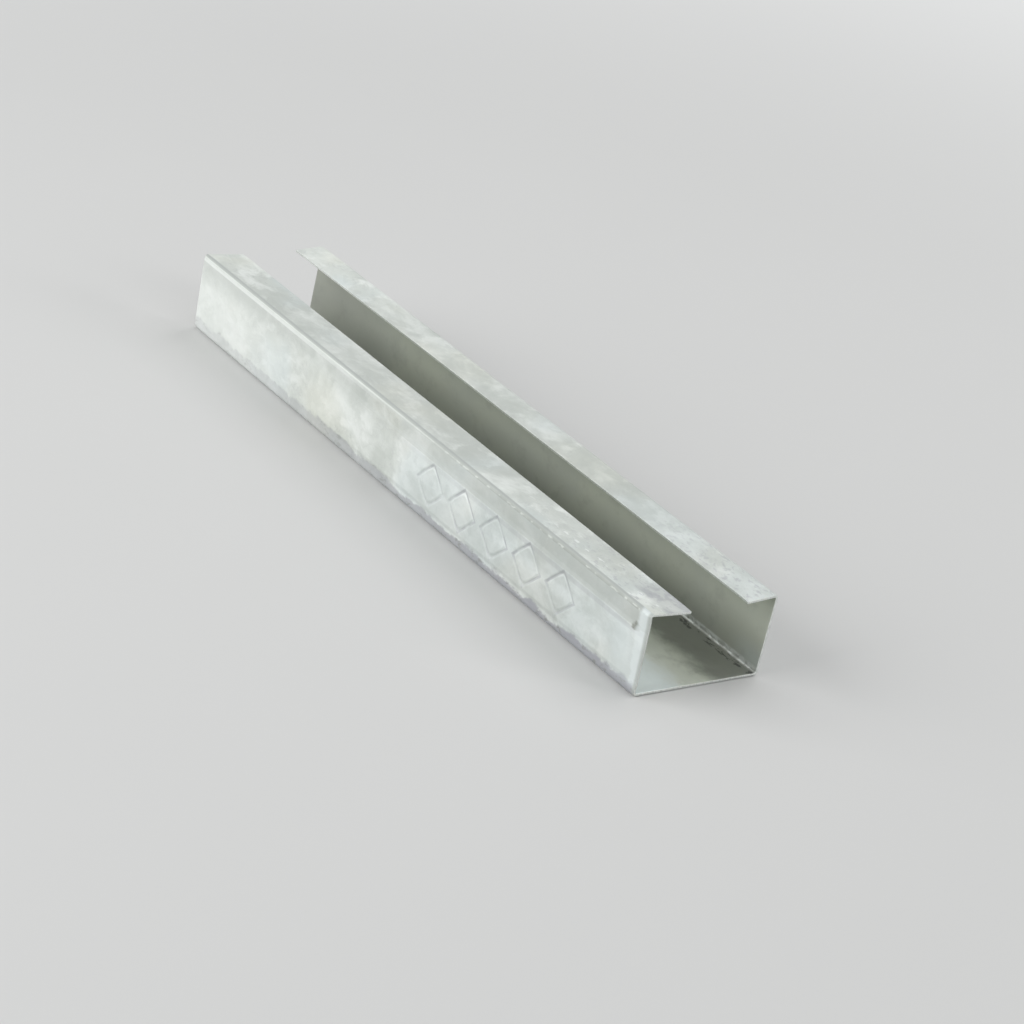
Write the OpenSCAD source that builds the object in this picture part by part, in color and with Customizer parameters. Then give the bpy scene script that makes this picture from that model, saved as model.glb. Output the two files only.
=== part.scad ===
// Lipped channel, roll-formed from one strip of galvanised steel sheet.
// X runs along the piece, Y across it and Z up. The origin lies under the middle of the web, on the
// face that the channel rests on. The front flange, at -Y, carries the shallow pressed band.

/* [Length] */
// Length of the piece between its two sheared ends
piece_len = 270; // [60:10:3000]

/* [Sheet] */
// Thickness of the coated sheet
sheet_t = 0.8; // [0.5:0.1:1.2]
// Inside radius of the four main bends
bend_r = 0.8; // [0.6:0.1:2.4]

/* [Section] */
// Width of the web, over the outside faces of the two flanges
web_w = 50; // [44:1:75]
// Height of the section, from under the web to the top of the lip bends
section_h = 29; // [24:1:45]
// Angle in degrees by which each flange leans outwards
flange_lean = 1.2; // [0:0.1:5]
// Angle in degrees by which each lip dips towards its free edge
lip_dip = 4; // [0:0.5:8]
// Width of the front lip, from the outside corner of its bend to its free edge
front_lip_w = 16.5; // [10:0.5:20]
// Width of the back lip, from the outside corner of its bend to its free edge
back_lip_w = 12.5; // [8:0.5:18]

/* [Pressed band] */
// How far the band stands proud of the front flange
band_rise = 0.3; // [0.2:0.05:0.6]
// Plain strip of flange between the top of the section and the band
band_top_margin = 6; // [4:0.5:8]
// Plain strip of flange between the underside of the web and the band
band_bottom_margin = 4; // [4:0.5:8]
// Angle in degrees of the two steps at the edges of the band
band_step_angle = 20; // [8:1:20]
// Inside radius of the slight bends of those steps
band_step_r = 0.6; // [0.3:0.1:0.8]

/* [Hidden] */

$fn = 96;
galvanised = [0.78, 0.80, 0.78];

// Angle that the strip turns through where a lip meets its flange, and where a flange meets the web
lip_turn = 90 + flange_lean + lip_dip;
web_turn = 90 - flange_lean;

// Outside radius of the four main bends
outer_r = bend_r + sheet_t;

// Distance from an outside corner to the line where its bend starts
function setback(turn) = outer_r * tan(turn / 2);

// Length of a flange along its slope, from one outside corner to the other
flange_slope = (section_h - outer_r * (1 + sin(flange_lean))) / cos(flange_lean) + setback(lip_turn);

// Outside corner, [Y, Z], where the front flange meets its lip
front_corner = [-web_w / 2 - flange_slope * sin(flange_lean), flange_slope * cos(flange_lean)];

// Sloping part of one step, and the length of flange that the whole step takes up
step_flat = (band_rise - (2 * band_step_r + sheet_t) * (1 - cos(band_step_angle))) / sin(band_step_angle);
step_run = (2 * band_step_r + sheet_t) * sin(band_step_angle) + step_flat * cos(band_step_angle);

// Bends are [turn, inside radius]: a positive turn folds the strip inwards, a negative one outwards
lip_bend = [lip_turn, bend_r];
web_bend = [web_turn, bend_r];
step_out = [-band_step_angle, band_step_r];
step_in = [band_step_angle, band_step_r];

// The strip in order, from the free edge of the front lip round to the free edge of the back lip
flats = [
    front_lip_w - setback(lip_turn),
    band_top_margin - setback(lip_turn),
    step_flat,
    flange_slope - band_top_margin - band_bottom_margin - 2 * step_run,
    step_flat,
    band_bottom_margin - setback(web_turn),
    web_w - 2 * setback(web_turn),
    flange_slope - setback(web_turn) - setback(lip_turn),
    back_lip_w - setback(lip_turn)
];
bends = [lip_bend, step_out, step_in, step_in, step_out, web_bend, web_bend, lip_bend];

// Straight stretch of strip along +X, with its outside face on the X axis and its thickness above it
module flat(length) {
    square([length, sheet_t]);
}

// Curved stretch of strip that leaves the origin along +X, with its outside face below
module bend(turn, inside_r) {
    reach = 2 * (inside_r + sheet_t);
    centre_y = turn > 0 ? inside_r + sheet_t : -inside_r;
    start = turn > 0 ? -90 : 90;
    translate([0, centre_y])
        intersection() {
            difference() {
                circle(inside_r + sheet_t);
                circle(inside_r);
            }
            polygon(concat([[0, 0]], [for (share = [0, 0.5, 1])
                reach * [cos(start + share * turn), sin(start + share * turn)]]));
        }
}

// Carries its children to the end of such a bend
module after_bend(turn, inside_r) {
    path_r = turn > 0 ? inside_r + sheet_t : inside_r;
    side = sign(turn);
    translate([0, side * path_r])
        rotate(turn)
            translate([0, -side * path_r])
                children();
}

// The strip from flat number i to its end, each flat followed by its bend
module strip(i = 0) {
    flat(flats[i]);
    if (i < len(bends))
        translate([flats[i], 0]) {
            bend(bends[i][0], bends[i][1]);
            after_bend(bends[i][0], bends[i][1])
                strip(i + 1);
        }
}

module section() {
    translate(front_corner)
        rotate(-lip_dip)
            translate([front_lip_w, 0])
                rotate(180)
                    strip();
}

module channel() {
    color(galvanised)
        rotate([90, 0, 90])
            linear_extrude(piece_len, center = true)
                section();
}

channel();
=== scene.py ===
"""Lipped channel: a short piece of roll-formed galvanised strip, its zinc finish, and a plain studio."""

import math

import bmesh
import bpy
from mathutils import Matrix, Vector


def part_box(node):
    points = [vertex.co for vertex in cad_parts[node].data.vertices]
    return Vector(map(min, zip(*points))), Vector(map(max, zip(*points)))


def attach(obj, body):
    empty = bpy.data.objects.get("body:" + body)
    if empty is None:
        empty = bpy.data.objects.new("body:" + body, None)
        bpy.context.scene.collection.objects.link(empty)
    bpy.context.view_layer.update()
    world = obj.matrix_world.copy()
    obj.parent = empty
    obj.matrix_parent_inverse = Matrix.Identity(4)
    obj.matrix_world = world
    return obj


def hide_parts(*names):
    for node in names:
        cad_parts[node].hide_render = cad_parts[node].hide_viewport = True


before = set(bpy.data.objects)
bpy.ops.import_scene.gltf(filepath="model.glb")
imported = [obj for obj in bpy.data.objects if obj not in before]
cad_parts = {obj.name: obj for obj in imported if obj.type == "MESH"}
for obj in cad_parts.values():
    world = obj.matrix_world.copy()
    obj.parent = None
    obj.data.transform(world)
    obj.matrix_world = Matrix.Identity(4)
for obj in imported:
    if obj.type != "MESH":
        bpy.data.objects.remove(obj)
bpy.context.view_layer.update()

bl_info = {
    "name": "Lipped Channel",
    "version": (1, 0, 0),
    "blender": (4, 5, 0),
    "location": "View3D > Sidebar > Channel",
    "description": "Folds a lipped channel from galvanised strip and sets it in a plain studio",
    "category": "Object",
}

NODE = "channel"
MM = 0.001


# ---------------------------------------------------------------- sizes, colours and studio settings


class ChannelSizes(bpy.types.PropertyGroup):
    """Sizes of the folded strip."""

    sheet: bpy.props.FloatProperty(
        name="Sheet", description="Thickness of the coated sheet",
        default=0.8 * MM, unit="LENGTH",
    )
    bend_radius: bpy.props.FloatProperty(
        name="Bend radius", description="Inside radius of the four main bends",
        default=0.8 * MM, unit="LENGTH",
    )
    web_width: bpy.props.FloatProperty(
        name="Web width", description="Width over the flanges at the web",
        default=50 * MM, unit="LENGTH",
    )
    front_lip: bpy.props.FloatProperty(
        name="Front lip", description="Width of the front lip, with its bend",
        default=16.5 * MM, unit="LENGTH",
    )
    back_lip: bpy.props.FloatProperty(
        name="Back lip", description="Width of the back lip, with its bend",
        default=12.5 * MM, unit="LENGTH",
    )
    lip_dip: bpy.props.FloatProperty(
        name="Lip dip", description="Fall of each lip towards its free edge",
        default=math.radians(4), unit="ROTATION",
    )
    band_rise: bpy.props.FloatProperty(
        name="Band rise", description="How far the band stands proud",
        default=0.3 * MM, unit="LENGTH",
    )
    band_top: bpy.props.FloatProperty(
        name="Band top margin", description="Flange above the band",
        default=6 * MM, unit="LENGTH",
    )
    band_bottom: bpy.props.FloatProperty(
        name="Band bottom margin", description="Flange below the band",
        default=4 * MM, unit="LENGTH",
    )
    band_step: bpy.props.FloatProperty(
        name="Band step", description="Flange taken up by one step of the band",
        default=1.18 * MM, unit="LENGTH",
    )
    waviness: bpy.props.FloatProperty(
        name="Waviness", description="Depth of the soft unevenness of the sheet",
        default=0.10 * MM, unit="LENGTH",
    )


class LozengeSizes(bpy.types.PropertyGroup):
    """Sizes of the row of pressed lozenges."""

    count: bpy.props.IntProperty(name="Count", description="Lozenges in the row", default=5)
    pitch: bpy.props.FloatProperty(
        name="Pitch", description="From one lozenge to the next",
        default=18.5 * MM, unit="LENGTH",
    )
    from_end: bpy.props.FloatProperty(
        name="From end", description="Sheared end to the middle of the first lozenge",
        default=42.5 * MM, unit="LENGTH",
    )
    width: bpy.props.FloatProperty(
        name="Width", description="Lozenge across, along the piece",
        default=15 * MM, unit="LENGTH",
    )
    height: bpy.props.FloatProperty(
        name="Height", description="Lozenge from point to point, up the flange",
        default=15 * MM, unit="LENGTH",
    )
    groove: bpy.props.FloatProperty(
        name="Groove", description="Width of the groove that draws the lozenge",
        default=1.3 * MM, unit="LENGTH",
    )
    depth: bpy.props.FloatProperty(
        name="Depth", description="Depth of that groove",
        default=0.32 * MM, unit="LENGTH",
    )


class ZincColours(bpy.types.PropertyGroup):
    """Colours of the zinc coating; several are also laid as painted light and shade."""

    zinc: bpy.props.FloatVectorProperty(
        name="Zinc", description="Main colour of the coating",
        default=(0.68, 0.71, 0.675), subtype="COLOR",
    )
    # Also laid as painted light: the paler far end of the flange, the lit patch on the web and the
    # highlight in the back corner
    bloom_and_light: bpy.props.FloatVectorProperty(
        name="Bloom", description="Paler clouds of the coating",
        default=(0.80, 0.825, 0.80), subtype="COLOR",
    )
    dull: bpy.props.FloatVectorProperty(
        name="Dull", description="Darker clouds of the coating",
        default=(0.56, 0.59, 0.555), subtype="COLOR",
    )
    # Also laid as painted shade over the near half of the flange, on the top bend and on the upper step of
    # the band
    wear_and_shade: bpy.props.FloatVectorProperty(
        name="Worn", description="Coating dulled by handling and dust",
        default=(0.42, 0.445, 0.42), subtype="COLOR",
    )
    # Also laid as a painted bluish reflection at the near end, outside and inside
    cool: bpy.props.FloatVectorProperty(
        name="Cool", description="Bluish tint in the coating",
        default=(0.63, 0.71, 0.73), subtype="COLOR",
    )
    warm: bpy.props.FloatVectorProperty(
        name="Warm", description="Yellowish tint in the coating",
        default=(0.72, 0.72, 0.62), subtype="COLOR",
    )
    # Also laid as painted shade in the dark hairline on the top bend and in the line under the upper step
    stain_and_shade: bpy.props.FloatVectorProperty(
        name="Stain", description="Storage stain near the web",
        default=(0.358, 0.364, 0.39), subtype="COLOR",
    )
    inside: bpy.props.FloatVectorProperty(
        name="Inside", description="Sheltered zinc inside the channel",
        default=(0.64, 0.67, 0.585), subtype="COLOR",
    )
    # Laid as painted shade on the back wall, the web, the top bend and in the knock, as well as for
    # blotches and dirt
    shade: bpy.props.FloatVectorProperty(
        name="Shade", description="Dark blotches and dirt",
        default=(0.24, 0.25, 0.22), subtype="COLOR",
    )
    speck: bpy.props.FloatVectorProperty(
        name="Speck", description="Dark specks in the inside corner",
        default=(0.06, 0.06, 0.06), subtype="COLOR",
    )
    # Also laid as painted highlight below the top bend, on a crease of the front lip and at the near end
    bright: bpy.props.FloatVectorProperty(
        name="Bright", description="Rubbed metal on bends and sheared edges",
        default=(0.86, 0.88, 0.86), subtype="COLOR",
    )


class StudioSettings(bpy.types.PropertyGroup):
    """Floor, backdrop and camera."""

    floor: bpy.props.FloatVectorProperty(
        name="Floor", description="Colour of the floor",
        default=(0.64, 0.64, 0.63), subtype="COLOR",
    )
    backdrop: bpy.props.FloatVectorProperty(
        name="Backdrop", description="Colour behind the floor",
        default=(0.83, 0.84, 0.84), subtype="COLOR",
    )
    aim: bpy.props.FloatVectorProperty(
        name="Aim", description="Point that the camera looks at",
        default=(0.0430, -0.0096, 0.0145), subtype="XYZ", unit="LENGTH",
    )
    azimuth: bpy.props.FloatProperty(
        name="Azimuth", description="Turn of the camera from the front towards +X",
        default=math.radians(49.8), unit="ROTATION",
    )
    elevation: bpy.props.FloatProperty(
        name="Elevation", description="Height of the camera above the horizon",
        default=math.radians(25.2), unit="ROTATION",
    )
    roll: bpy.props.FloatProperty(
        name="Roll", description="Lean of the picture to the left",
        default=math.radians(12.4), unit="ROTATION",
    )
    distance: bpy.props.FloatProperty(
        name="Distance", description="From the camera to its aim",
        default=1.052, unit="LENGTH",
    )
    lens: bpy.props.FloatProperty(
        name="Lens", description="Focal length in millimetres",
        default=114.1, unit="CAMERA",
    )


# ---------------------------------------------------------------- selecting and editing


# Ends of an edge that differ by less than this count as level with each other
TOUCH = 0.001 * MM
# An edge this close to a place of the section counts as lying on it
PLACE_TOLERANCE = 0.02 * MM


def start_piece():
    """Leaves edit mode and deselects everything, so that a new piece starts alone."""
    if bpy.context.object and bpy.context.object.mode != "OBJECT":
        bpy.ops.object.mode_set(mode="OBJECT")
    bpy.ops.object.select_all(action="DESELECT")


def select(obj, kind, test):
    """Selects, in edit mode, the faces or edges of obj that pass the test."""
    modes = {"EDGE": (False, True, False), "FACE": (False, False, True)}
    bpy.context.tool_settings.mesh_select_mode = modes[kind]
    bpy.ops.mesh.select_all(action="DESELECT")
    shape = bmesh.from_edit_mesh(obj.data)
    for item in shape.edges if kind == "EDGE" else shape.faces:
        if test(item):
            item.select_set(True)
    bmesh.update_edit_mesh(obj.data)


def near(value, target):
    """True where a place of the section is met."""
    return abs(value - target) < PLACE_TOLERANCE


def select_line(obj, y, z):
    """Selects the edges that run along the piece at that place of its section."""

    def on_line(edge):
        a, b = (vertex.co for vertex in edge.verts)
        lengthways = abs(a.x - b.x) > TOUCH and abs(a.y - b.y) < TOUCH and abs(a.z - b.z) < TOUCH
        return lengthways and near(a.y, y) and near(a.z, z)

    select(obj, "EDGE", on_line)


def extrude(offset):
    bpy.ops.mesh.extrude_region_move(TRANSFORM_OT_translate={"value": offset})


def round_edges(offset, segments):
    """Rounds the selected edges, from that far on either side of them."""
    bpy.ops.mesh.bevel(
        offset=offset, offset_type="OFFSET", segments=segments, profile=0.5, affect="EDGES"
    )


def cut(obj, place, direction, test=None):
    """Cuts the faces that pass the test, or all faces, along a plane."""
    select(obj, "FACE", test or (lambda face: True))
    bpy.ops.mesh.bisect(plane_co=place, plane_no=direction, threshold=TOUCH)


def apply_modifier(obj, name, kind, **settings):
    modifier = obj.modifiers.new(name, kind)
    for key, value in settings.items():
        setattr(modifier, key, value)
    bpy.ops.object.modifier_apply(modifier=name)


# ---------------------------------------------------------------- the folded strip


LENGTH_CELLS = 120
FLAT_CELL = 2 * MM
BEND_SEGMENTS = 10
STEP_SEGMENTS = 3
STEP_ROUNDING = 0.28 * MM
# The strip stops this short of the box at either end
HAIR = 0.004 * MM
# Rounds of working out the lean, each of which brings it closer
LEAN_ROUNDS = 8
# A face belongs to the front flange if the cosine of its turn from the flange's outward way is above
# the first number, and if it lies beyond the second number's share of half the web
FACING_OUT = 0.9
FAR_OUT = 0.9


class Section:
    """Outside corners and slopes of the section, from the frame's box and the sizes."""

    def __init__(self, sizes):
        box_low, box_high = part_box(NODE)
        self.length = box_high.x - box_low.x - 2 * HAIR
        self.height = box_high.z
        self.half_web = sizes.web_width / 2
        self.outer_radius = sizes.bend_radius + sizes.sheet
        # The plain back flange leans so far that its top bend just reaches the box.
        radius = self.outer_radius
        self.lean = 0.0
        for _ in range(LEAN_ROUNDS):
            tangent = (self.height - radius * (1 + math.sin(self.lean))) / math.cos(self.lean)
            bulge = radius * (1 - math.cos(self.lean))
            self.lean = math.asin((box_high.y - self.half_web - bulge) / tangent)
        self.lip_dip = sizes.lip_dip
        self.lip_turn = math.pi / 2 + self.lean + self.lip_dip
        self.web_turn = math.pi / 2 - self.lean
        self.slope = tangent + self.setback(self.lip_turn)
        # Sharp outside corner of flange and lip, which the bend then rounds off
        self.top_y = self.half_web + self.slope * math.sin(self.lean)
        self.top_z = self.slope * math.cos(self.lean)
        # The front flange: its foot, its way up and the way that it faces
        self.foot = Vector((0, -self.half_web, 0))
        self.up = Vector((0, -math.sin(self.lean), math.cos(self.lean)))
        self.out = Vector((0, -math.cos(self.lean), -math.sin(self.lean)))
        # Rises of the band's edges, of both ends of its two steps, and of its middle
        low, high = sizes.band_bottom, self.slope - sizes.band_top
        self.band = (low, high)
        self.steps = (low, low + sizes.band_step, high - sizes.band_step, high)
        self.band_middle = (sizes.band_bottom + self.slope - sizes.band_top) / 2

    def setback(self, turn):
        """From a sharp outside corner to where its bend starts."""
        return self.outer_radius * math.tan(turn / 2)

    def on_flange(self, rise):
        """Point on the front flange, that far up its slope."""
        return self.foot + self.up * rise

    def rise(self, point):
        return (point - self.foot).dot(self.up)


def fold_strip(sizes, section):
    """The outside face of the strip, folded with sharp corners."""
    start_piece()
    bpy.ops.mesh.primitive_grid_add(x_subdivisions=LENGTH_CELLS, y_subdivisions=1, size=1)
    strip = bpy.context.object
    strip.name = strip.data.name = "channel_sheet"
    strip.scale = (section.length, sizes.web_width, 1)
    bpy.ops.object.transform_apply(location=False, rotation=False, scale=True)
    bpy.ops.object.mode_set(mode="EDIT")
    # The web's outside face looks down
    bpy.ops.mesh.flip_normals()
    lean_out = section.top_y - section.half_web
    dip = section.lip_dip
    for side, lip in ((-1, sizes.front_lip), (1, sizes.back_lip)):
        select_line(strip, side * section.half_web, 0)
        extrude((0, side * lean_out, section.top_z))
        select_line(strip, side * section.top_y, section.top_z)
        extrude((0, -side * lip * math.cos(dip), -lip * math.sin(dip)))
    return strip


def is_front_flange(section):
    """A test that picks the faces of the front flange."""

    def test(face):
        looks_out = face.normal.dot(section.out) > FACING_OUT
        return looks_out and face.calc_center_median().y < -section.half_web * FAR_OUT

    return test


def press_band(strip, sizes, section):
    """Cuts the front flange along the steps of the band and presses the band out."""
    front = is_front_flange(section)
    for rise in section.steps:
        cut(strip, section.on_flange(rise), section.up, front)
    low, high = section.steps[1:3]

    def in_band(face):
        return front(face) and low < section.rise(face.calc_center_median()) < high

    select(strip, "FACE", in_band)
    bpy.ops.transform.translate(value=section.out * sizes.band_rise)
    for rise, lift in zip(section.steps, (0, 1, 1, 0)):
        line = section.on_flange(rise) + section.out * sizes.band_rise * lift
        select_line(strip, line.y, line.z)
        round_edges(STEP_ROUNDING, STEP_SEGMENTS)


def round_corners(strip, section):
    """Rounds the four main bends."""
    corners = (
        (section.half_web, 0, section.web_turn),
        (section.top_y, section.top_z, section.lip_turn),
    )
    for side in (-1, 1):
        for y, z, turn in corners:
            select_line(strip, side * y, z)
            round_edges(section.setback(turn), BEND_SEGMENTS)


def divide_flats(strip, section):
    """Cuts web, flanges and lips into narrow lanes, so that the sheet can wave."""
    lanes = int(section.half_web / FLAT_CELL)
    for i in range(-lanes + 1, lanes):
        cut(strip, (0, i * FLAT_CELL, 0), (0, 1, 0))
    bend_start = section.top_z - 2 * section.outer_radius
    for i in range(1, int(section.height / FLAT_CELL)):
        level = i * FLAT_CELL
        clear = all(abs(level - rise) > 2 * STEP_ROUNDING for rise in section.steps)
        if clear and section.outer_radius < level < bend_start:
            cut(strip, (0, 0, level), (0, 0, 1))


# ---------------------------------------------------------------- relief


# Stretch at each end over which the shear has rolled the sheet over, and the shares of it at which
# cuts are made, through the faces that lie in the zone
ROLLOVER_RUN = 5.5 * MM
ROLLOVER_CUTS = (0.12, 0.25, 0.4, 0.55, 0.7, 0.85, 1.0)
ROLLOVER_ZONE = 1.5 * ROLLOVER_RUN
END_ROLLOVER = 0.2 * MM
# The front flange curls in further at its near end; the curl grows over the first share of its slope
# and dies away over the last, and takes in points beyond the region's share of half the web
FLANGE_CURL = 0.6 * MM
CURL_GROWTH = 0.25
CURL_DECAY = 0.12
CURL_REGION = 0.95
# The band loses this share of its rise towards the far end, from a start and over a run
FAR_FADE = 0.8
FADE_START = 20 * MM
FADE_RUN = 120 * MM
# It loses all of it this far from the near end, over the first share of that stretch
BAND_END = 7.5 * MM
BAND_END_SHARE = 0.6
# Rounding of a lozenge's points, slope of its groove, and dish of the field inside it
TIP_ROUNDING = 1.2 * MM
TIP_CUT = 0.35
GROOVE_SLOPE = 0.25 * MM
DISH_SHARE = 0.35
DISH_SLOPE = 1.5 * MM
LOZENGE_CUTS = 5
# The knock near the end of the front flange
DENT_FROM_END = 5.2 * MM
DENT_RISE = 22.3 * MM
DENT_RADIUS = 1.1 * MM
DENT_DEPTH = 0.16 * MM
DENT_STEEPNESS = 2
# Cuts to one radius of it along the piece, drops of the cuts below its middle, and reaches in radii
DENT_CUTS = 3
DENT_DROPS = (0.9 * MM, 1.3 * MM, 1.8 * MM)
DENT_REACH_ALONG = 4
DENT_REACH_UP = 3
# Unevenness of the sheet and burr of its edges
WAVE_SIZE = 28 * MM
BURR_RADIUS = 0.08 * MM
BURR_ANGLE = math.radians(60)


def smooth(value):
    """Smooth rise from 0 to 1, as the value goes from 0 to 1."""
    value = max(0.0, min(1.0, value))
    return value * value * (3 - 2 * value)


def press(strip, name, depth, weight):
    """Presses the sheet in by depth times the weight of each point."""
    bpy.ops.object.mode_set(mode="OBJECT")
    group = strip.vertex_groups.new(name=name)
    for vertex in strip.data.vertices:
        share = weight(vertex.co)
        if share > 0:
            group.add([vertex.index], share, "REPLACE")
    apply_modifier(
        strip, name, "DISPLACE", direction="NORMAL", mid_level=0, strength=-depth, vertex_group=name
    )
    strip.vertex_groups.clear()
    bpy.ops.object.mode_set(mode="EDIT")


def divide_ends(strip, section):
    """Narrow cells near both ends, where the sheet is rolled over."""
    end = section.length / 2

    def in_zone(face):
        return abs(face.calc_center_median().x) > end - ROLLOVER_ZONE

    for share in ROLLOVER_CUTS:
        for side in (-1, 1):
            cut(strip, (side * (end - ROLLOVER_RUN * share), 0, 0), (1, 0, 0), in_zone)


def fade_band(strip, sizes, section):
    """The band is pressed less deep towards the far end, and runs out just before the near end."""
    low, high = section.band

    def weight(point):
        rise = section.rise(point)
        if point.y > -section.half_web or not low < rise < high:
            return 0.0
        lift = min(1.0, (rise - low) / sizes.band_step, (high - rise) / sizes.band_step)
        far = FAR_FADE * smooth((FADE_START - point.x) / FADE_RUN)
        end = smooth((point.x - section.length / 2 + BAND_END) / (BAND_END * BAND_END_SHARE))
        return lift * max(far, end)

    press(strip, "fading", sizes.band_rise, weight)


def roll_over_ends(strip, section):
    """The shear has turned the sheet's edge inwards, most of all at the near end of the front flange."""
    end = section.length / 2

    def run(point):
        return max(0.0, 1 - (end - abs(point.x)) / ROLLOVER_RUN) ** 2

    def curl(point):
        if point.x < 0 or point.y > -CURL_REGION * section.half_web:
            return 0.0
        share = section.rise(point) / section.slope
        return run(point) * smooth(share / CURL_GROWTH) * smooth((1 - share) / CURL_DECAY)

    press(strip, "rollover", END_ROLLOVER, run)
    press(strip, "curl", FLANGE_CURL, curl)


def lozenge_groove(point, lozenges, section):
    """Depth of the pressed lozenges at a point of the front flange, from 0 to 1."""
    v = section.rise(point) - section.band_middle
    u = section.length / 2 - lozenges.from_end - point.x
    index = round(u / lozenges.pitch)
    if not 0 <= index < lozenges.count:
        return 0.0
    u -= index * lozenges.pitch
    a, b = lozenges.width / 2, lozenges.height / 2
    # Distance from the outline of a rounded lozenge
    gap = (abs(u) / a + abs(v) / b - 1) * a * b / math.hypot(a, b)
    near_tip = min(abs(u), abs(v))
    gap += TIP_ROUNDING * TIP_CUT * math.exp(-((near_tip / TIP_ROUNDING) ** 2))
    ring = smooth(1 - abs(gap) / (lozenges.groove / 2 + GROOVE_SLOPE))
    dish = DISH_SHARE * smooth(-gap / DISH_SLOPE)
    return max(ring, dish)


def press_lozenges(strip, sizes, lozenges, section):
    """A row of lozenges drawn by pressed grooves in the band."""
    first = section.length / 2 - lozenges.from_end + lozenges.pitch / 2
    last = first - lozenges.count * lozenges.pitch
    margin = sizes.band_step + STEP_ROUNDING
    low, high = section.band[0] + margin, section.band[1] - margin

    def on_band(point):
        return point.y < -section.half_web and last < point.x < first and low < section.rise(point) < high

    def weight(point):
        return lozenge_groove(point, lozenges, section) if on_band(point) else 0

    select(strip, "FACE", lambda face: on_band(face.calc_center_median()))
    bpy.ops.mesh.subdivide(number_cuts=LOZENGE_CUTS)
    press(strip, "lozenges", lozenges.depth, weight)


def knock_place(section):
    """Middle of the knock in the front flange, close to its near end."""
    place = section.on_flange(DENT_RISE)
    place.x = section.length / 2 - DENT_FROM_END
    return place


def dent_flange(strip, section):
    """A small knock, with narrow cells round it."""
    middle = knock_place(section)

    def within(radii):
        return lambda face: (face.calc_center_median() - middle).length < radii * DENT_RADIUS

    for i in range(-2 * DENT_CUTS, 2 * DENT_CUTS + 1):
        place = middle + Vector((i * DENT_RADIUS / DENT_CUTS, 0, 0))
        cut(strip, place, (1, 0, 0), within(DENT_REACH_ALONG))
    for drop in DENT_DROPS:
        cut(strip, middle - section.up * drop, section.up, within(DENT_REACH_UP))

    def weight(point):
        share = (point - middle).length / DENT_RADIUS
        return math.exp(-(share ** 2) * DENT_STEEPNESS)

    press(strip, "dent", DENT_DEPTH, weight)


def wave_sheet(strip, sizes):
    """Soft unevenness of rolled sheet, always towards the inside."""
    clouds = bpy.data.textures.new("sheet_unevenness", "CLOUDS")
    clouds.noise_scale = WAVE_SIZE
    clouds.noise_depth = 2
    apply_modifier(
        strip, "wave", "DISPLACE", direction="NORMAL", mid_level=1, strength=sizes.waviness,
        texture=clouds, texture_coords="LOCAL",
    )


def give_thickness(strip, sizes):
    """Thickens the sheet inwards; its inside and its edges take the second and third material."""
    apply_modifier(
        strip, "thickness", "SOLIDIFY", thickness=sizes.sheet, offset=-1, use_even_offset=True,
        material_offset=1, material_offset_rim=2,
    )
    apply_modifier(
        strip, "burr", "BEVEL", width=BURR_RADIUS, segments=2, limit_method="ANGLE", angle_limit=BURR_ANGLE
    )


# ---------------------------------------------------------------- zinc finish


# The finish changes from lip to front flange between these places across the piece
LIP_TO_FLANGE = (-23.9 * MM, -24.5 * MM)
FLANGE_TO_LIP = (-24.5 * MM, -23.9 * MM)
# The same inside, from web to back wall, and from wall down to web
WEB_TO_WALL = (22.4 * MM, 23.6 * MM)
WALL_TO_WEB = (2.6 * MM, 1.4 * MM)
ROLLING_LINES = {"scale": 1.0, "detail": 3, "roughness": 0.6, "stretch": (10, 900, 900)}
SPANGLE_SCALE = 330.0
SPANGLE_SHARE = 0.06
SPANGLE_DARK = (0.2, 0.2, 0.2)
SPANGLE_PALE = (1, 1, 1)
ZINC_METALLIC = 0.45
STEEL_METALLIC = 0.85


def rgba(colour):
    return (*colour, 1.0)


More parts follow.
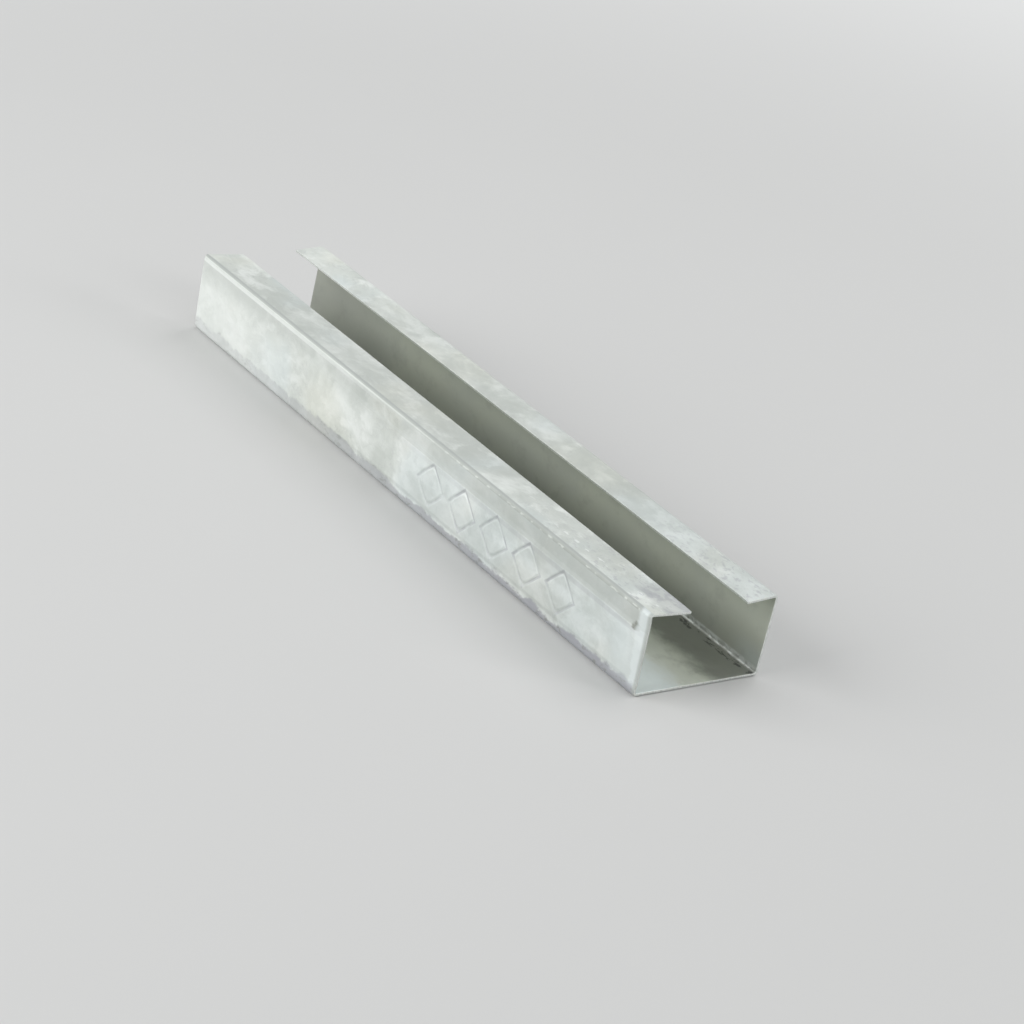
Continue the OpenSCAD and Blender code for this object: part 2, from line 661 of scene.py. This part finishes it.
class Nodes:
    """A material whose shader nodes are added in one line each."""

    def __init__(self, name):
        self.material = bpy.data.materials.new(name)
        self.material.use_nodes = True
        self.tree = self.material.node_tree
        self.shader = self.tree.nodes["Principled BSDF"]
        self.object = self.add("ShaderNodeTexCoord").outputs["Object"]

    def add(self, kind, inputs=None, **settings):
        node = self.tree.nodes.new(kind)
        for key, value in settings.items():
            setattr(node, key, value)
        for key, value in (inputs or {}).items():
            self.feed(value, node.inputs[key])
        return node

    def feed(self, value, socket):
        """Links a socket to another, or sets it to a plain value."""
        if isinstance(value, bpy.types.NodeSocket):
            self.tree.links.new(value, socket)
        else:
            socket.default_value = value

    def noise(self, scale, detail, roughness, distortion=0.0, stretch=None):
        """Noise over the object, or over the object scaled by stretch."""
        vector = self.object
        if stretch:
            mapping = self.add("ShaderNodeMapping", {"Vector": vector, "Scale": stretch})
            vector = mapping.outputs["Vector"]
        inputs = {
            "Vector": vector,
            "Scale": scale,
            "Detail": detail,
            "Roughness": roughness,
            "Distortion": distortion,
        }
        return self.add("ShaderNodeTexNoise", inputs).outputs["Fac"]

    def ramp(self, value, low, high, start=0.0, end=1.0):
        """Goes smoothly from start to end, as the value goes from low to high."""
        node = self.add(
            "ShaderNodeMapRange",
            {"Value": value, "From Min": low, "From Max": high, "To Min": start, "To Max": end},
            interpolation_type="SMOOTHSTEP",
        )
        return node.outputs["Result"]

    def math(self, operation, a, b=0.0):
        return self.add("ShaderNodeMath", {0: a, 1: b}, operation=operation).outputs[0]

    def product(self, *factors):
        result = factors[0]
        for factor in factors[1:]:
            result = self.math("MULTIPLY", result, factor)
        return result

    def window(self, value, start, end, soft):
        """1 from start to end, and fading to 0 over soft on either side."""
        return self.product(self.ramp(value, start - soft, start), self.ramp(value, end + soft, end))

    def ragged(self, place, pattern, depth):
        """The place shifted to and fro by a pattern, so that an edge drawn at it is ragged."""
        return self.math("ADD", place, self.product(self.math("SUBTRACT", pattern, 0.5), depth))

    def mix(self, share, a, b):
        node = self.tree.nodes.new("ShaderNodeMix")
        node.data_type = "RGBA"
        for value, key in ((share, "Factor_Float"), (a, "A_Color"), (b, "B_Color")):
            self.feed(value, next(s for s in node.inputs if s.identifier == key))
        return next(s for s in node.outputs if s.identifier == "Result_Color")


class Finish(Nodes):
    """A finish built up by laying one of the zinc colours after another over a first one."""

    def __init__(self, name, colours, first):
        super().__init__(name)
        self.colours = colours
        self.colour = rgba(getattr(colours, first))

    def place(self):
        """X, Y and Z of each point of the object."""
        split = self.add("ShaderNodeSeparateXYZ", {"Vector": self.object})
        return (split.outputs[i] for i in range(3))

    def lay(self, name, *shares):
        """Lays a colour over what is there, as strongly as the product of the shares."""
        self.colour = self.mix(self.product(*shares), self.colour, rgba(getattr(self.colours, name)))

    def connect(self, roughness, relief, strength, depth, metallic):
        """Joins colour, roughness and fine relief to the shader."""
        bump = self.add("ShaderNodeBump", {"Strength": strength, "Distance": depth, "Height": relief})
        self.feed(self.colour, self.shader.inputs["Base Color"])
        self.feed(roughness, self.shader.inputs["Roughness"])
        self.feed(bump.outputs["Normal"], self.shader.inputs["Normal"])
        self.shader.inputs["Metallic"].default_value = metallic
        return self.material


class OuterZinc(Finish):
    """Zinc of the outside, with the patterns and places that several of its marks share."""

    def __init__(self, colours, section):
        super().__init__("galvanised_zinc", colours, "dull")
        self.clouds = self.noise(scale=48, detail=5, roughness=0.6, distortion=0.4, stretch=(0.8, 1, 1))
        self.patches = self.noise(scale=130, detail=4, roughness=0.62, distortion=0.25, stretch=(0.8, 1, 1))
        self.flecks = self.noise(scale=620, detail=3, roughness=0.6, distortion=0.4, stretch=(0.6, 1, 1))
        self.dashes = self.noise(scale=620, detail=1, roughness=0.5, stretch=(0.6, 1, 1))
        self.lines = self.noise(**ROLLING_LINES)
        self.x, self.y, self.z = self.place()
        self.end = section.length / 2
        self.outside = self.ramp(self.y, *LIP_TO_FLANGE)
        self.on_lip = self.ramp(self.y, *FLANGE_TO_LIP)
        # A ramp towards the near end, along which painted shade on the flange grows
        self.towards_near_end = self.ramp(self.x, -60 * MM, 120 * MM)
        # Height above the place where the top bend starts
        self.radius = section.outer_radius
        self.rise = self.math("SUBTRACT", self.z, section.height - self.radius)
        self.on_bend = self.product(self.ramp(self.rise, 0, 0.2 * self.radius), self.outside)


def cloud_zinc(n):
    """Clouds and patches, with fine creases, a change of hue, faint spangle and rolling lines."""
    n.lay("zinc", n.ramp(n.clouds, 0.36, 0.62))
    n.lay("bloom_and_light", n.ramp(n.clouds, 0.50, 0.74))
    n.lay("bloom_and_light", n.ramp(n.patches, 0.50, 0.70, 0, 0.7))
    n.lay("dull", n.ramp(n.patches, 0.46, 0.30, 0, 0.6))
    creases = n.ramp(n.math("ABSOLUTE", n.math("SUBTRACT", n.patches, 0.5)), 0.018, 0.0)
    n.lay("stain_and_shade", creases, n.ramp(n.clouds, 0.55, 0.42), 0.22)
    hue = n.noise(scale=26, detail=2, roughness=0.5)
    n.lay("cool", n.ramp(hue, 0.52, 0.66, 0, 0.35))
    n.lay("warm", n.ramp(hue, 0.48, 0.34, 0, 0.35))
    crystals = n.add("ShaderNodeTexVoronoi", {"Vector": n.object, "Scale": SPANGLE_SCALE}, feature="F1")
    tint = n.add("ShaderNodeSeparateColor", {"Color": crystals.outputs["Color"]}).outputs[0]
    n.colour = n.mix(SPANGLE_SHARE, n.colour, n.mix(tint, rgba(SPANGLE_DARK), rgba(SPANGLE_PALE)))
    n.lay("bright", n.ramp(n.lines, 0.55, 0.75, 0, 0.10))


def grade_flange_along_length(n):
    """Painted light along the flange: the near half is darker and the far end paler; the strip above the
    band is darker too.
    """
    # Painted shade: the near half is darker, in patches
    n.lay("wear_and_shade", n.towards_near_end, n.ramp(n.patches, 0.35, 0.6, 0.36, 0.18))
    # Painted light: the far end of the outside is paler
    n.lay("bloom_and_light", n.ramp(n.x, -30 * MM, -110 * MM), n.outside, 0.4)
    # The strip has a crisp lower edge in the near half and a vague one in the far half
    crisp = n.product(n.ramp(n.z, 21.9 * MM, 22.3 * MM), n.ramp(n.x, -80 * MM, 90 * MM, 0, 0.65))
    central = n.product(n.window(n.x, -45 * MM, -20 * MM, 25 * MM), 0.45)
    far = n.math("MAXIMUM", n.ramp(n.x, 20 * MM, -100 * MM, 0, 0.35), central)
    vague = n.product(n.ramp(n.z, 17 * MM, 26 * MM), far)
    n.lay("wear_and_shade", n.math("MAXIMUM", crisp, vague), n.outside)


def dull_lips(n):
    """Wear of the lips: dull across the middle, near the back lip's end and at the front lip's tip."""
    slanted = n.math("SUBTRACT", n.x, n.product(n.y, 0.8))
    middle = n.product(n.window(slanted, -75 * MM, 38 * MM, 45 * MM), n.on_lip)
    n.lay("wear_and_shade", middle, n.ramp(n.patches, 0.35, 0.65, 0.56, 0.34))
    on_back = n.ramp(n.y, 0, 10 * MM)
    n.lay("wear_and_shade", on_back, n.ramp(n.x, 20 * MM, 110 * MM, 0, 0.30))
    tip = n.product(n.ramp(n.x, 114 * MM, 123 * MM), n.on_lip, n.window(n.y, -17.5 * MM, 0, 2.5 * MM))
    n.lay("wear_and_shade", tip, 0.45)
    n.lay("stain_and_shade", tip, n.ramp(n.patches, 0.52, 0.44, 0.15, 0.60))
    # Dark flecks in the near half, which are faint low down on the back flange
    marks = n.product(n.ramp(n.flecks, 0.54, 0.64), n.on_lip, n.ramp(n.x, 55 * MM, 125 * MM))
    n.lay("stain_and_shade", marks, n.ramp(n.z, 12 * MM, 27 * MM, 0.12, 0.5))


def darken_foot(n):
    """A darker strip along the foot of the front flange, with a ragged upper edge and dark specks."""
    top = n.ramp(n.x, -60 * MM, 60 * MM, 4.9 * MM, 3.9 * MM)
    level = n.math("SUBTRACT", n.ragged(n.z, n.patches, 9 * MM), top)
    strength = n.ramp(n.x, -120 * MM, 100 * MM, 0.25, 0.92)
    foot = n.product(n.ramp(level, 0, -1.4 * MM), n.outside, strength)
    n.lay("stain_and_shade", foot)
    n.lay("shade", foot, n.ramp(n.flecks, 0.56, 0.66), 0.7)


def paint_top_bend(n):
    """Painted light on the front flange's top bend: the bend darkened, a lighter highlight line broken in
    the near half, and a dark hairline of shade.
    """
    # Painted shade: the bend is darkened, low on it most of all in the near half, to temper its highlight
    n.lay("wear_and_shade", n.on_bend, 0.9)
    lower = n.ramp(n.rise, 0.75 * n.radius, 0.5 * n.radius)
    n.lay("shade", n.on_bend, lower, n.towards_near_end, 0.28)
    # Painted highlight: a lighter line along the bend, broken in the near half
    highlight_line = n.window(n.rise, 0.20 * n.radius, 0.46 * n.radius, 0.12 * n.radius)
    broken = n.math("MAXIMUM", n.ramp(n.x, 60 * MM, -30 * MM), n.ramp(n.dashes, 0.50, 0.64, 0, 0.7))
    n.lay("zinc", highlight_line, n.outside, broken, 0.75)
    # Painted shade: a dark hairline on the lip side of the bend
    hairline = n.window(n.rise, 0.82 * n.radius, 0.92 * n.radius, 0.06 * n.radius)
    n.lay("stain_and_shade", hairline, n.outside, 0.2)
    # Painted highlight: a paler strip just below the bend, in the far half
    strip = n.window(n.z, 26.7 * MM, 27.5 * MM, 0.3 * MM)
    n.lay("bright", strip, n.outside, n.ramp(n.x, 20 * MM, -100 * MM, 0, 0.5))


def paint_fold_lines(n):
    """Painted glints in a crease of the front lip, and painted shade on the upper step and in a line under
    it.
    """
    # Painted glints: bright flecks along an unmodelled crease of the front lip
    fold = n.product(n.window(n.y, -19.5 * MM, -18.9 * MM, 0.6 * MM), n.ramp(n.x, 50 * MM, 90 * MM))
    n.lay("bright", fold, n.ramp(n.dashes, 0.54, 0.62), 0.5)
    # Painted shade: the upper step is dulled towards the far end, and a dark line runs under it
    step = n.window(n.z, 22.0 * MM, 22.9 * MM, 0.3 * MM)
    n.lay("wear_and_shade", step, n.outside, n.ramp(n.x, -90 * MM, 20 * MM, 0, 0.4))
    under = n.window(n.z, 20.2 * MM, 21.2 * MM, 0.6 * MM)
    n.lay("stain_and_shade", under, n.outside, n.towards_near_end, 0.28)


def darken_grooves(n, section, lozenges):
    """Darker lines in the grooves of the lozenges."""
    first = n.end - lozenges.from_end
    beyond = first + lozenges.pitch * lozenges.count
    across = n.math("PINGPONG", n.math("SUBTRACT", beyond, n.x), lozenges.pitch / 2)
    up = n.math("ABSOLUTE", n.math("SUBTRACT", n.z, section.band_middle * math.cos(section.lean)))
    a, b = lozenges.width / 2, lozenges.height / 2
    outline = n.math("ADD", n.product(across, 1 / a), n.product(up, 1 / b))
    gap = n.product(n.math("SUBTRACT", outline, 1.0), a * b / math.hypot(a, b))
    groove = n.window(gap, -0.1 * MM, 0.35 * MM, 0.45 * MM)
    row_start = first - (lozenges.count - 0.5) * lozenges.pitch
    row = n.window(n.x, row_start, first + lozenges.pitch / 2, 0.1 * MM)
    n.lay("stain_and_shade", groove, row, n.outside, n.ramp(n.patches, 0.40, 0.58, 0.15, 0.55))


def settle_dust(n):
    """Dust below the row of lozenges, and beside its end under the step of the band."""
    low = n.window(n.z, 5.5 * MM, 10.5 * MM, 3 * MM)
    below = n.product(n.window(n.x, 10 * MM, 90 * MM, 12 * MM), low, 0.21)
    high = n.window(n.z, 17 * MM, 21 * MM, 2 * MM)
    beside = n.product(n.window(n.x, 78 * MM, 94 * MM, 9 * MM), high, 0.30)
    n.lay("wear_and_shade", n.math("MAXIMUM", below, beside), n.outside)


def shade_knock(n, section):
    """Painted shade in the knock close to the near end."""
    away = n.add("ShaderNodeVectorMath", {0: n.object, 1: knock_place(section)}, operation="DISTANCE")
    knock_shade = n.ramp(n.ragged(away.outputs["Value"], n.flecks, 4 * MM), 2.1 * MM, 0.8 * MM)
    # Painted shade: the knock is darkened
    n.lay("shade", knock_shade, 0.9)


def pale_near_end(n):
    """Towards the near sheared end the flange is paler and bluish, partly a painted highlight and
    reflection on the rolled-over sheet and partly rubbed metal, with a thin grey strip along the cut
    itself.
    """
    reach = n.ragged(n.x, n.patches, 5 * MM)
    on_band = n.product(n.ramp(n.z, 21.5 * MM, 19.5 * MM), n.ramp(reach, n.end - 20 * MM, n.end - 9 * MM))
    at_cut = n.ramp(reach, n.end - 5.6 * MM, n.end - 3.4 * MM)
    pale = n.math("MAXIMUM", n.product(on_band, 0.6), at_cut)
    pale = n.product(pale, n.outside, n.ramp(n.z, 1.5 * MM, 5 * MM))
    # Painted highlight with a bluish reflection, partly rubbed metal
    n.lay("cool", pale, 0.5)
    n.lay("bright", pale, 0.3)
    n.lay("wear_and_shade", n.ramp(n.x, n.end - 1.7 * MM, n.end - 0.6 * MM), n.outside, 0.75)


def make_zinc(colours, section, lozenges):
    """Matt hot-dip zinc: clouds, faint spangle, rolling lines and stains, with painted light and shade on
    the top bend, the steps, the knock and the near end.
    """
    n = OuterZinc(colours, section)
    cloud_zinc(n)
    grade_flange_along_length(n)
    dull_lips(n)
    darken_foot(n)
    paint_top_bend(n)
    paint_fold_lines(n)
    darken_grooves(n, section, lozenges)
    settle_dust(n)
    shade_knock(n, section)
    pale_near_end(n)
    roughness = n.ramp(n.clouds, 0.3, 0.75, 0.70, 0.60)
    roughness = n.math("ADD", roughness, n.ramp(n.patches, 0.3, 0.7, 0.06, -0.04))
    roughness = n.math("ADD", roughness, n.product(n.on_bend, 0.02))
    grain = n.noise(scale=1800, detail=3, roughness=0.7)
    relief = n.math("ADD", n.product(grain, 0.25), n.patches)
    relief = n.math("ADD", relief, n.product(n.lines, 0.12))
    return n.connect(roughness, relief, strength=0.4, depth=0.07 * MM, metallic=ZINC_METALLIC)


class InnerZinc(Finish):
    """Zinc of the sheltered inside, with the patterns and places that its marks share."""

    def __init__(self, colours):
        super().__init__("sheltered_zinc", colours, "inside")
        self.clouds = self.noise(scale=55, detail=4, roughness=0.55, distortion=0.4, stretch=(0.6, 1, 1))
        self.blotches = self.noise(scale=120, detail=5, roughness=0.62, distortion=0.1, stretch=(0.8, 1, 1))
        self.flecks = self.noise(scale=620, detail=3, roughness=0.6, distortion=0.4, stretch=(0.5, 1, 1))
        self.lines = self.noise(**ROLLING_LINES)
        self.x, self.y, self.z = self.place()
        self.on_wall = self.ramp(self.y, *WEB_TO_WALL)
        self.on_web = self.ramp(self.z, *WALL_TO_WEB)


def shade_back_wall(n):
    """Painted shade on the back wall, heaviest at its foot and at its far end, and a painted bluish
    reflection low at its near end.
    """
    # Painted shade, darker towards the foot of the wall
    n.lay("shade", n.on_wall, n.ramp(n.z, 7 * MM, 16 * MM, 0.32, 0.18))
    n.lay("shade", n.ramp(n.z, 10 * MM, 3 * MM), n.on_wall, n.window(n.x, 20 * MM, 80 * MM, 60 * MM), 0.30)
    n.lay("shade", n.ramp(n.x, -70 * MM, -120 * MM), n.on_wall, 0.60)
    n.lay("cool", n.ramp(n.x, 118 * MM, 132 * MM), n.on_wall, n.ramp(n.z, 12 * MM, 4 * MM), 0.35)


def paint_light_on_web(n):
    """Painted shade over the back half of the web, and a painted pool of bluish light in front of it at the
    near end.
    """
    shadow_edge = n.ragged(n.y, n.blotches, 13 * MM)
    # Painted shade behind a ragged edge across the web
    n.lay("shade", n.ramp(shadow_edge, 2 * MM, 12.5 * MM), n.on_web, 0.92)
    # Painted light in front of that edge, at the near end
    lit_patch = n.product(n.ramp(shadow_edge, -1 * MM, -12 * MM), n.on_web, n.ramp(n.x, 60 * MM, 120 * MM))
    n.lay("bloom_and_light", lit_patch, 0.57)
    n.lay("cool", lit_patch, 0.6)


def light_corner(n):
    """Painted highlight along the back corner, with dark specks beside it."""
    corner = n.product(n.window(n.z, 1.2 * MM, 2.6 * MM, 0.6 * MM), n.ramp(n.y, 23.0 * MM, 23.8 * MM))
    # Painted highlight along the inner bend
    n.lay("bloom_and_light", corner, n.ramp(n.flecks, 0.40, 0.58, 0.35, 0.95))
    beside = n.window(n.y, 21.0 * MM, 23.0 * MM, 0.8 * MM)
    n.lay("speck", beside, n.on_web, n.ramp(n.flecks, 0.52, 0.58), 0.85)


def make_inner_zinc(colours):
    """The sheltered inside of the channel: duller zinc, with painted shade and painted light on its back
    wall and web.
    """
    n = InnerZinc(colours)
    n.lay("dull", n.ramp(n.clouds, 0.35, 0.7, 0, 0.5))
    n.lay("shade", n.ramp(n.blotches, 0.50, 0.72, 0, 0.25))
    n.lay("zinc", n.ramp(n.lines, 0.55, 0.75, 0, 0.1))
    shade_back_wall(n)
    paint_light_on_web(n)
    light_corner(n)
    roughness = n.ramp(n.blotches, 0.3, 0.75, 0.42, 0.52)
    relief = n.math("ADD", n.blotches, n.product(n.lines, 0.2))
    return n.connect(roughness, relief, strength=0.3, depth=0.06 * MM, metallic=ZINC_METALLIC)


def make_sheared_edge(colours):
    """The cut edge of the sheet: bright steel with fine shear lines."""
    n = Finish("sheared_edge", colours, "zinc")
    lines = n.noise(scale=1.0, detail=2, roughness=0.5, stretch=(2600, 2600, 500))
    n.lay("bright", n.ramp(lines, 0.35, 0.65))
    roughness = n.ramp(lines, 0.3, 0.7, 0.42, 0.30)
    return n.connect(roughness, lines, strength=0.4, depth=0.03 * MM, metallic=STEEL_METALLIC)


# ---------------------------------------------------------------- studio


FLOOR_SIZE = 16
FLOOR_FADE_START = 0.35
FLOOR_FADE_END = 1.1
FLOOR_GRAIN_SHADE = 0.985
WORLD_TINT = (0.96, 0.98, 1.0)
WORLD_STRENGTH = 0.46
# Each lamp's name, place, aim, width and height, and power in watts
LAMPS = (
    ("key", (-0.45, -1.38, 0.66), (0, 0, 0.01), (1.6, 1.2), 20.5),
    ("top", (-0.1, 0.9, 1.5), (0, 0, 0), (1.2, 1.2), 10.5),
    ("end", (1.2, 1.05, 0.75), (0.1, 0, 0), (0.5, 0.5), 4),
)
SENSOR_WIDTH = 36
NEAREST = 0.1
FARTHEST = 50


def seen_directly(tree):
    """1 for rays from the eye and for those mirrored or let through by the object, otherwise 0."""
    rays = tree.nodes.new("ShaderNodeLightPath").outputs
    seen = rays["Is Camera Ray"]
    for name in ("Is Glossy Ray", "Is Transmission Ray"):
        either = tree.nodes.new("ShaderNodeMath")
        either.operation = "MAXIMUM"
        tree.links.new(seen, either.inputs[0])
        tree.links.new(rays[name], either.inputs[1])
        seen = either.outputs[0]
    return seen


def make_floor(colour, backdrop):
    """Plain pale studio floor with a very faint grain, which far off takes the colour of the backdrop."""
    n = Nodes("studio_floor")
    grain = n.noise(scale=9, detail=3, roughness=0.5)
    darker = tuple(c * FLOOR_GRAIN_SHADE for c in colour)
    n.feed(n.mix(grain, rgba(darker), rgba(colour)), n.shader.inputs["Base Color"])
    n.shader.inputs["Roughness"].default_value = 0.85
    n.shader.inputs["Specular IOR Level"].default_value = 0.2
    away = n.add("ShaderNodeVectorMath", {0: n.object}, operation="LENGTH").outputs["Value"]
    share = n.product(n.ramp(away, FLOOR_FADE_START, FLOOR_FADE_END), seen_directly(n.tree))
    plain = n.add("ShaderNodeEmission", {"Color": rgba(backdrop), "Strength": 1.0})
    both = n.add("ShaderNodeMixShader", {0: share, 1: n.shader.outputs[0], 2: plain.outputs[0]})
    n.feed(both.outputs[0], n.tree.nodes["Material Output"].inputs["Surface"])
    return n.material


def make_world(backdrop):
    """Even soft light, with a pale backdrop behind the floor."""
    world = bpy.data.worlds.new("studio_world")
    world.use_nodes = True
    tree = world.node_tree
    light = tree.nodes["Background"]
    light.inputs["Color"].default_value = rgba(WORLD_TINT)
    light.inputs["Strength"].default_value = WORLD_STRENGTH
    behind = tree.nodes.new("ShaderNodeBackground")
    behind.inputs["Color"].default_value = rgba(backdrop)
    both = tree.nodes.new("ShaderNodeMixShader")
    tree.links.new(seen_directly(tree), both.inputs[0])
    tree.links.new(light.outputs[0], both.inputs[1])
    tree.links.new(behind.outputs[0], both.inputs[2])
    tree.links.new(both.outputs[0], tree.nodes["World Output"].inputs["Surface"])
    return world


def add_lamp(name, place, aim, size, power):
    """A soft rectangular lamp at its place, turned to its aim."""
    data = bpy.data.lights.new(name, "AREA")
    data.shape = "RECTANGLE"
    data.size, data.size_y = size
    data.energy = power
    lamp = bpy.data.objects.new(name, data)
    bpy.context.scene.collection.objects.link(lamp)
    lamp.location = place
    lamp.rotation_euler = (Vector(aim) - Vector(place)).to_track_quat("-Z", "Y").to_euler()


def set_camera(scene, studio):
    """A camera turned and lifted round its aim, then rolled about its line of sight."""
    data = bpy.data.cameras.new("camera")
    data.lens = studio.lens
    data.sensor_width = SENSOR_WIDTH
    data.clip_start = NEAREST
    data.clip_end = FARTHEST
    camera = bpy.data.objects.new("camera", data)
    scene.collection.objects.link(camera)
    turn, lift = studio.azimuth, studio.elevation
    back = Vector((math.sin(turn) * math.cos(lift), -math.cos(turn) * math.cos(lift), math.sin(lift)))
    camera.location = Vector(studio.aim) + back * studio.distance
    angles = (-back).to_track_quat("-Z", "Y").to_euler()
    angles.rotate_axis("Z", studio.roll)
    camera.rotation_euler = angles
    scene.camera = camera


# ---------------------------------------------------------------- operators


SMOOTH_ANGLE = math.radians(35)


class CHANNEL_OT_channel(bpy.types.Operator):
    """Fold the strip, press its band and lozenges, and give it its zinc"""

    bl_idname = "channel.channel"
    bl_label = "Channel"

    def execute(self, context):
        scene = context.scene
        sizes = scene.channel_sizes
        lozenges = scene.channel_lozenges
        colours = scene.channel_colours
        section = Section(sizes)
        strip = fold_strip(sizes, section)
        press_band(strip, sizes, section)
        round_corners(strip, section)
        divide_flats(strip, section)
        divide_ends(strip, section)
        fade_band(strip, sizes, section)
        roll_over_ends(strip, section)
        press_lozenges(strip, sizes, lozenges, section)
        dent_flange(strip, section)
        bpy.ops.object.mode_set(mode="OBJECT")
        wave_sheet(strip, sizes)
        strip.data.materials.append(make_zinc(colours, section, lozenges))
        strip.data.materials.append(make_inner_zinc(colours))
        strip.data.materials.append(make_sheared_edge(colours))
        give_thickness(strip, sizes)
        bpy.ops.object.shade_smooth_by_angle(angle=SMOOTH_ANGLE)
        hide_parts(NODE)
        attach(strip, "root")
        return {"FINISHED"}


class CHANNEL_OT_studio(bpy.types.Operator):
    """Lay the floor, hang the lamps and set the camera"""

    bl_idname = "channel.studio"
    bl_label = "Studio"

    def execute(self, context):
        scene = context.scene
        studio = scene.channel_studio
        start_piece()
        bpy.ops.mesh.primitive_plane_add(size=FLOOR_SIZE, location=(0, 0, 0))
        floor = context.object
        floor.name = floor.data.name = "studio_floor"
        floor.data.materials.append(make_floor(studio.floor, studio.backdrop))
        scene.world = make_world(studio.backdrop)
        for lamp in LAMPS:
            add_lamp(*lamp)
        set_camera(scene, studio)
        scene.view_settings.view_transform = "Standard"
        return {"FINISHED"}


class CHANNEL_PT_panel(bpy.types.Panel):
    """Lists the pieces and the studio."""

    bl_idname = "CHANNEL_PT_panel"
    bl_label = "Lipped Channel"
    bl_space_type = "VIEW_3D"
    bl_region_type = "UI"
    bl_category = "Channel"

    def draw(self, context):
        for operator in OPERATORS:
            self.layout.operator(operator.bl_idname)


GROUPS = {
    "channel_sizes": ChannelSizes,
    "channel_lozenges": LozengeSizes,
    "channel_colours": ZincColours,
    "channel_studio": StudioSettings,
}
OPERATORS = (CHANNEL_OT_channel, CHANNEL_OT_studio)


def register():
    for name, group in GROUPS.items():
        bpy.utils.register_class(group)
        setattr(bpy.types.Scene, name, bpy.props.PointerProperty(type=group))
    for cls in (*OPERATORS, CHANNEL_PT_panel):
        bpy.utils.register_class(cls)


def unregister():
    for cls in (CHANNEL_PT_panel, *reversed(OPERATORS)):
        bpy.utils.unregister_class(cls)
    for name, group in GROUPS.items():
        delattr(bpy.types.Scene, name)
        bpy.utils.unregister_class(group)


def main():
    register()
    bpy.ops.channel.channel()
    bpy.ops.channel.studio()


if __name__ == "__main__":
    main()
